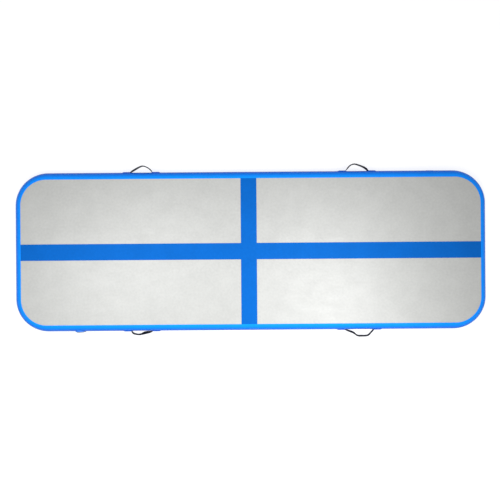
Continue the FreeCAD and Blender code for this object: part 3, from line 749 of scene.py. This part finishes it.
def stitch(run, up, way):
    """Rings of one raised stitch that lies on a cover patch, way radians from level."""
    share = np.array([-1, -0.8, -0.4, 0, 0.4, 0.8, 1.0])[:, None]
    turn = np.linspace(0, 2 * math.pi, 7)[:-1]
    radius = THREAD_RADIUS * np.sqrt(np.maximum(0.08, 1 - share**2))
    aside = radius * np.cos(turn)
    along = share * STITCH_LENGTH / 2 + 0 * aside
    rise = STITCH_LIFT + THREAD_RADIUS * 0.9 * (1 - share**2) + radius * np.sin(turn)
    return wall_surface(run + along * math.cos(way) - aside * math.sin(way),
                        up + along * math.sin(way) + aside * math.cos(way), rise)


def seam_places(half_x, half_up, pitch):
    """Centre and direction of each stitch of a box with a cross in it."""
    corners = [(-half_x, -half_up), (half_x, -half_up), (half_x, half_up), (-half_x, half_up)]
    lines = list(zip(corners, corners[1:] + corners[:1]))
    lines += [(corners[0], corners[2]), (corners[1], corners[3])]
    for start, end in lines:
        span = np.subtract(end, start)
        length = np.linalg.norm(span)
        count = round(length / pitch)
        for k in range(count):
            yield np.array(start) + span * (k + 0.5) / count, math.atan2(span[1], span[0])


def stitching(handle, side, finish):
    """Box-and-cross seams that hold a strap's two ends to the mat."""
    points, faces = [], []
    for part in ("left_end", "right_end"):
        low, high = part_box(f"{handle}_handle_{part}")
        middle = run_at((low.x + high.x) / 2, side)
        half_x = (high.x - low.x) / 2 - SEAM_INSET
        half_up = (high.z - low.z) / 2 - SEAM_INSET
        for (x, up), way in seam_places(half_x, half_up, STITCH_PITCH):
            more, quads = tube(stitch(middle + x, up, way))
            faces += [[index + len(points) for index in quad] for quad in quads]
            points += more.tolist()
    new_piece(f"{handle}_handle_stitching", points, faces, finish)


# ---------------------------------------------------------------- the valve


def coil_spring(finish):
    """The plunger's return spring."""
    low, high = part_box("valve_spring")
    wire, turns, press = 0.35 * MM, 5, 5 * MM
    middle = (low + high) / 2
    radius = (high.x - low.x) / 2 - wire
    share = np.linspace(0, 1, turns * 24 + 1)[:, None]
    around = np.linspace(0, 2 * math.pi, 9)[:-1]
    reach = radius + wire * np.cos(around)
    turned = 2 * math.pi * turns * share
    rings = np.stack([middle.x + reach * np.cos(turned),
                      high.y - wire - share * (high.y - low.y - 2 * wire) + wire * np.sin(around),
                      middle.z + reach * np.sin(turned)], -1)
    points, faces = tube(rings)
    made = new_piece("plunger_return_spring", points, faces, finish,
                     stands_for=["valve_spring"])
    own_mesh(made)


def dress(node, finish, bevel=0.0):
    """Give a CAD node its material and soften its edges."""
    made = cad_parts[node]
    made.data.materials.clear()
    made.data.materials.append(finish)
    if bevel:
        soften = made.modifiers.new("edges", "BEVEL")
        soften.width = bevel
        soften.segments = 3
        soften.limit_method = "ANGLE"
        soften.angle_limit = SHARP


# ---------------------------------------------------------------- stage

FLOOR_REACH = 12.0
FLOOR_DROP = 0.3 * MM  # keeps the floor clear of the mat's underside
FLOOR_GLOW = 0.73


def make_floor():
    """Plain pale floor, with a glow of its own that evens out the light on it."""
    mesh = bpy.data.meshes.new("floor")
    corners = [(x * FLOOR_REACH, y * FLOOR_REACH, -FLOOR_DROP)
               for x, y in ((-1, -1), (1, -1), (1, 1), (-1, 1))]
    mesh.from_pydata(corners, [], [(0, 1, 2, 3)])
    floor = bpy.data.objects.new("floor", mesh)
    bpy.context.scene.collection.objects.link(floor)
    make = Finish("pale_floor", Specular_IOR_Level=0.1)
    tone = make.between(make.noise(0.8, 2.0), 0.0, 1.0)
    tint = make.blend(tone, (0.39, 0.39, 0.39, 1), (0.41, 0.41, 0.41, 1))
    make.shader.inputs["Emission Color"].default_value = (1.0, 1.0, 1.0, 1)
    make.shader.inputs["Emission Strength"].default_value = FLOOR_GLOW
    mesh.materials.append(make.finish(tint, 0.9))


def soft_light(name, place, target, size, power):
    """Rectangular lamp that shines at a target and isn't seen itself."""
    light = bpy.data.lights.new(name, "AREA")
    light.shape = "RECTANGLE"
    light.size, light.size_y = size
    light.energy = power
    made = bpy.data.objects.new(name, light)
    made.location = place
    made.rotation_euler = (Vector(target) - Vector(place)).to_track_quat("-Z", "Y").to_euler()
    made.visible_camera = False
    bpy.context.scene.collection.objects.link(made)


def make_lights():
    """Even studio light from all round, with two soft lamps over the front of the mat."""
    world = bpy.data.worlds.new("studio")
    world.use_nodes = True
    backdrop = world.node_tree.nodes["Background"]
    backdrop.inputs["Color"].default_value = (1.0, 1.0, 1.0, 1)
    backdrop.inputs["Strength"].default_value = 0.66
    bpy.context.scene.world = world
    soft_light("key", (0.72, -0.56, 1.4), (-0.1, -0.8, 0.1), (1.5, 0.9), 24)
    soft_light("fill", (-0.94, -0.23, 1.35), (-0.78, -0.65, 0.1), (1.2, 0.9), 13.5)
    bpy.context.scene.view_settings.view_transform = "Standard"


def make_camera():
    """Straight down from above the mat's middle, slightly turned, framed on the mat."""
    data = bpy.data.cameras.new("camera")
    data.lens = 37.6
    data.shift_x, data.shift_y = 0.0430, -0.0386
    camera = bpy.data.objects.new("camera", data)
    camera.location = (-0.14, 0.13, 3.4)
    camera.rotation_euler = (0, 0, math.radians(-0.43))
    bpy.context.scene.collection.objects.link(camera)
    bpy.context.scene.camera = camera


# ---------------------------------------------------------------- build


def build_sheets(finishes):
    """The inflated mat itself."""
    mat = band("side_band", 0, LAP_END, finishes["band"], "outer_side_wall")
    inner_edge = LAP_END + 16 * MM
    band("inner_band", 1, inner_edge, finishes["lining"], "inner_side_wall")
    panel("top_panel", True, finishes["top"], "top_skin")
    panel("base_panel", False, finishes["bottom"], "bottom_skin")
    for name in ("long_stripe", "cross_stripe_front", "cross_stripe_back"):
        stripe(f"{name}_sheet", name, finishes["stripe"])
    wall_patch("band_joint_strip", "side_wall_joint_strip", BACK, 6 * MM, 2.5 * MM,
               finishes["band"])
    dress("drop_stitch_yarns", finishes["yarn"])


def build_handles(finishes):
    """Straps with their patches and seams."""
    for handle, side in HANDLES.items():
        for end in ("left", "right"):
            wall_patch(f"{handle}_{end}_patch_sheet", f"{handle}_handle_{end}_patch", side,
                       PATCH_CORNER, PATCH_INSET, finishes["patch"])
            cover_patch(handle, end, side, finishes["patch"])
        strap(handle, side, finishes["webbing"])
        stitching(handle, side, finishes["thread"])


def build_valve(finishes):
    """The valve's CAD nodes with their materials, and its spring."""
    dress("valve_boss", finishes["boss"], 0.4 * MM)
    dress("valve_gasket", finishes["rubber"], 0.1 * MM)
    dress("cap_tether_ring", finishes["cap"], 0.3 * MM)
    dress("valve_body", finishes["plastic"], 0.35 * MM)
    dress("valve_clamp_washer", finishes["plastic"], 0.2 * MM)
    dress("valve_nut", finishes["plastic"], 0.4 * MM)
    coil_spring(finishes["steel"])
    dress("spring_retainer", finishes["plastic"], 0.15 * MM)
    dress("valve_stem", finishes["plastic"], 0.15 * MM)
    dress("valve_button", finishes["button"], 0.4 * MM)
    dress("plunger_disc", finishes["plastic"], 0.2 * MM)
    dress("plunger_seal", finishes["rubber"])
    dress("valve_cap", finishes["cap"], 0.45 * MM)
    dress("cap_sealing_ring", finishes["rubber"])


finishes = make_finishes()
build_sheets(finishes)
build_handles(finishes)
build_valve(finishes)
make_floor()
make_lights()
make_camera()
